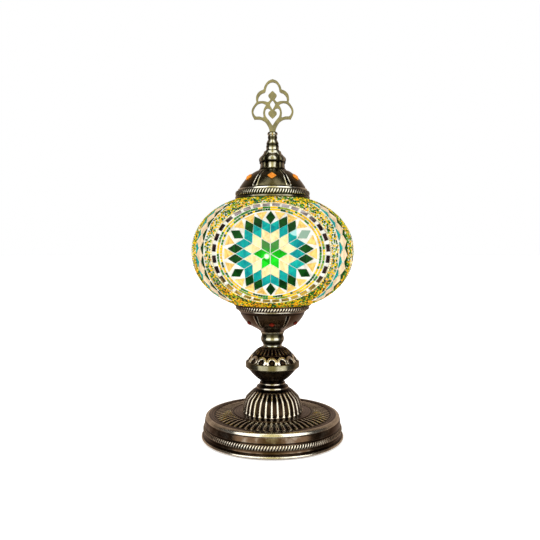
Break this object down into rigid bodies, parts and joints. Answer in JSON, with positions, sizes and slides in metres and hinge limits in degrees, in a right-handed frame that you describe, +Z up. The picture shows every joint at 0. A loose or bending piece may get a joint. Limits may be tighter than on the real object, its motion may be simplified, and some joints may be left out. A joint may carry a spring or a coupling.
{
  "type": "mosaic glass table lamp",
  "caption": "Table lamp with an oblate mosaic glass globe between a domed cap with an openwork finial and a cup on a turned bronze stem and round base.",
  "frame": {"origin": "centre of the lamp's footprint, on the surface it stands on", "axes": "+Z up along the stem, -Y towards the front medallion, +X to the lamp's right as seen from the front"},
  "size_m": [0.1606, 0.1606, 0.3563],
  "materials": {
    "dark_bronze": "antique bronze plating, dark in the recesses and brushed bright on the ridges",
    "bright_bronze": "antique bronze plating, polished through on the band",
    "olive_brass": "aged olive brass plating, near black in the recesses",
    "pale_brass": "pale brushed brass, satin",
    "ballast_iron": "rough sand casting, blackened",
    "cover_steel": "black paint, satin",
    "pad_rubber": "matt foam rubber",
    "bushing_plastic": "moulded, satin",
    "zinc_steel": "zinc plated, satin",
    "yellow_brass": "turned brass, plain",
    "holder_plastic": "white thermoset moulding, satin",
    "cap_aluminium": "rolled bright aluminium",
    "insulator_black": "black vitrite, glossy",
    "housing_white": "white moulding, satin",
    "led_board": "white solder resist with yellow emitters",
    "opal_diffuser": "opal diffuser, lit warm white from within",
    "clear_glass": "clear blown glass",
    "white_grout": "white plaster grout, fine grained",
    "bright_green_glass": "stained glass, glowing from within",
    "ivory_glass": "mottled ivory stained glass",
    "teal_glass": "streaked teal stained glass",
    "dark_green_glass": "deep green stained glass",
    "amber_glass": "crackled amber stained glass",
    "peach_glass": "peach stained glass",
    "mirror_plate": "dark silvered glass plates",
    "strand_beads": "yellow and green seed beads",
    "seed_beads": "yellow, green and white seed beads",
    "orange_stone": "faceted orange glass stones"
  },
  "bodies": {
    "stand": {"foot_pad": "pad_rubber", "base_cover": "cover_steel", "base_weight": "ballast_iron", "base_shell": "dark_bronze", "cord_bushing": "bushing_plastic", "pipe_washer": "zinc_steel", "pipe_nut": "yellow_brass", "lamp_pipe": "yellow_brass", "bell_foot": "dark_bronze", "knop_lower": "dark_bronze", "knop_band": "bright_bronze", "knop_upper": "dark_bronze", "neck_baluster": "dark_bronze", "lower_cup": "dark_bronze", "cup_stones": "orange_stone", "holder_locknut": "yellow_brass", "lampholder_base": "holder_plastic", "terminal_screws": "zinc_steel", "lampholder_body": "holder_plastic", "lampholder_liner": "yellow_brass", "centre_contact": "yellow_brass"},
    "bulb": {"bulb_contact": "cap_aluminium", "bulb_insulator": "insulator_black", "bulb_cap": "cap_aluminium", "bulb_housing": "housing_white", "led_board": "led_board", "bulb_diffuser": "opal_diffuser"},
    "globe": {"glass_globe": "clear_glass", "grout_shell": "white_grout", "star_tiles": "bright_green_glass", "ivory_tiles": "ivory_glass", "teal_tiles": "teal_glass", "dark_green_tiles": "dark_green_glass", "amber_triangles": "amber_glass", "ring_mirror_tiles": "mirror_plate", "bead_strands": "strand_beads", "seed_bead_field": "seed_beads", "column_diamonds": "peach_glass", "column_teal_triangles": "teal_glass", "column_dark_triangles": "dark_green_glass"},
    "cap": {"top_cap": "olive_brass", "cap_stones": "orange_stone", "clip_spring": "zinc_steel", "cap_collar": "olive_brass", "finial_stud": "zinc_steel", "stud_nut": "zinc_steel"},
    "finial": {"finial_stem": "olive_brass", "finial_plate": "pale_brass", "finial_pin": "pale_brass"}
  },
  "joints": [
    {"name": "bulb_unscrew", "type": "slide", "parent": "stand", "child": "bulb", "axis": [0, 0, 1], "range_m": [0, 0.028]},
    {"name": "globe_lift", "type": "slide", "parent": "stand", "child": "globe", "axis": [0, 0, 1], "range_m": [0, 0.09]},
    {"name": "cap_lift", "type": "slide", "parent": "globe", "child": "cap", "axis": [0, 0, 1], "range_m": [0, 0.05]},
    {"name": "finial_turn", "type": "hinge", "parent": "cap", "child": "finial", "pos_m": [0, 0, 0.2853], "axis": [0, 0, 1], "continuous": true}
  ]
}
